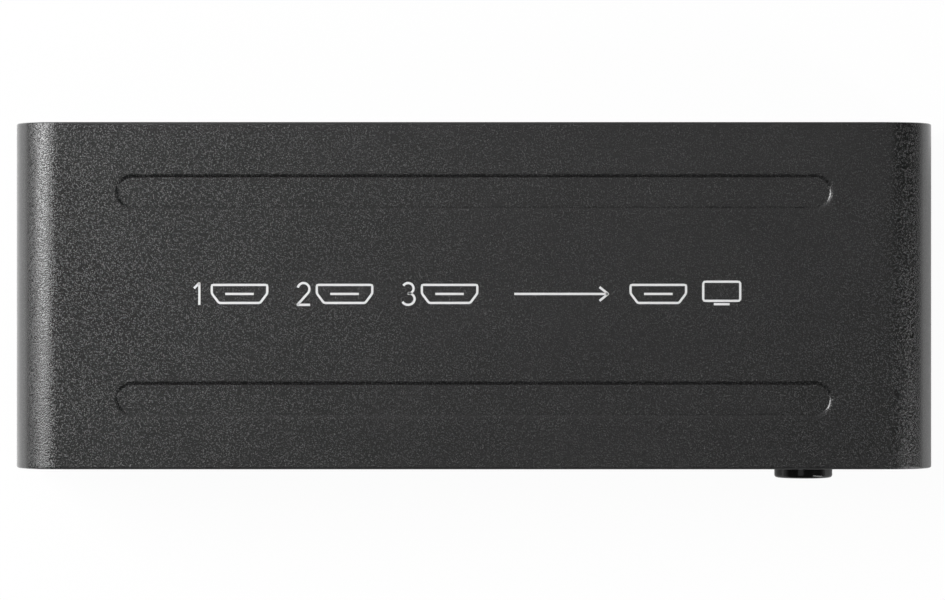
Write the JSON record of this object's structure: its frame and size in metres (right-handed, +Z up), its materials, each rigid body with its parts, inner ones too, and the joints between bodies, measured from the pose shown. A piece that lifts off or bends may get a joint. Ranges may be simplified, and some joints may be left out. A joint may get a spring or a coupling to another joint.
{
  "type": "hdmi switch box",
  "caption": "Flat folded-metal video switch box with a textured cover, two pressed slots, rear sockets and a round select button on the front.",
  "frame": {"origin": "centre of the bounding box in X and Y, on the surface that the feet stand on", "axes": "+X to the right along the front, +Y from the front (button) to the rear (sockets), +Z up"},
  "size_m": [0.14, 0.0544, 0.0216],
  "materials": {
    "cover_coat": "fine textured powder coat",
    "tray_coat": "fine textured powder coat",
    "screw_black": "black oxide",
    "screw_steel": "zinc plated",
    "standoff_brass": "nickel plated",
    "board_mask": "solder mask",
    "button_black": "polished moulding",
    "black_plastic": "moulded",
    "plated_steel": "nickel plated",
    "contact_gold": "gold plated",
    "foot_rubber": "moulded",
    "lamp_resin": "clear diffused resin",
    "window_tint": "dark red tint",
    "sensor_resin": "dark resin",
    "chip_resin": "moulded resin",
    "ferrite": "sintered",
    "can_aluminium": "drawn can",
    "ceramic": "ceramic chip"
  },
  "bodies": {
    "case": {"top_cover": "cover_coat", "base_tray": "tray_coat", "cover_screws": "screw_black", "board_standoffs": "standoff_brass", "circuit_board": "board_mask", "board_screws": "screw_steel", "switch_dome": "plated_steel", "switch_housing": "black_plastic", "switch_bracket": "plated_steel", "switch_terminals": "plated_steel", "power_jack_body": "black_plastic", "power_jack_pin": "plated_steel", "power_jack_spring": "plated_steel", "lamp_holders": "black_plastic", "lamp_leads": "plated_steel", "sensor_window": "window_tint", "remote_sensor": "sensor_resin", "sensor_leads": "plated_steel", "switching_chip": "chip_resin", "switching_chip_leads": "plated_steel", "control_chip": "chip_resin", "control_chip_leads": "plated_steel", "voltage_regulator": "chip_resin", "power_inductor": "ferrite", "smoothing_capacitors": "can_aluminium", "timing_crystal": "plated_steel", "chip_components": "ceramic", "foot_front_left": "foot_rubber", "foot_front_right": "foot_rubber", "foot_rear_left": "foot_rubber", "foot_rear_right": "foot_rubber", "lamp_power": "lamp_resin", "lamp_input_1": "lamp_resin", "lamp_input_2": "lamp_resin", "lamp_input_3": "lamp_resin", "input_1_shell": "plated_steel", "input_1_insulator": "black_plastic", "input_1_contacts": "contact_gold", "input_2_shell": "plated_steel", "input_2_insulator": "black_plastic", "input_2_contacts": "contact_gold", "input_3_shell": "plated_steel", "input_3_insulator": "black_plastic", "input_3_contacts": "contact_gold", "output_shell": "plated_steel", "output_insulator": "black_plastic", "output_contacts": "contact_gold"},
    "button": {"select_button": "button_black", "switch_plunger": "black_plastic"}
  },
  "joints": [
    {"name": "select_press", "type": "slide", "parent": "case", "child": "button", "axis": [0, 1, 0], "range_m": [0, 0.00035], "stiffness_N_per_m": 4500, "deforming": ["switch_dome"]}
  ]
}
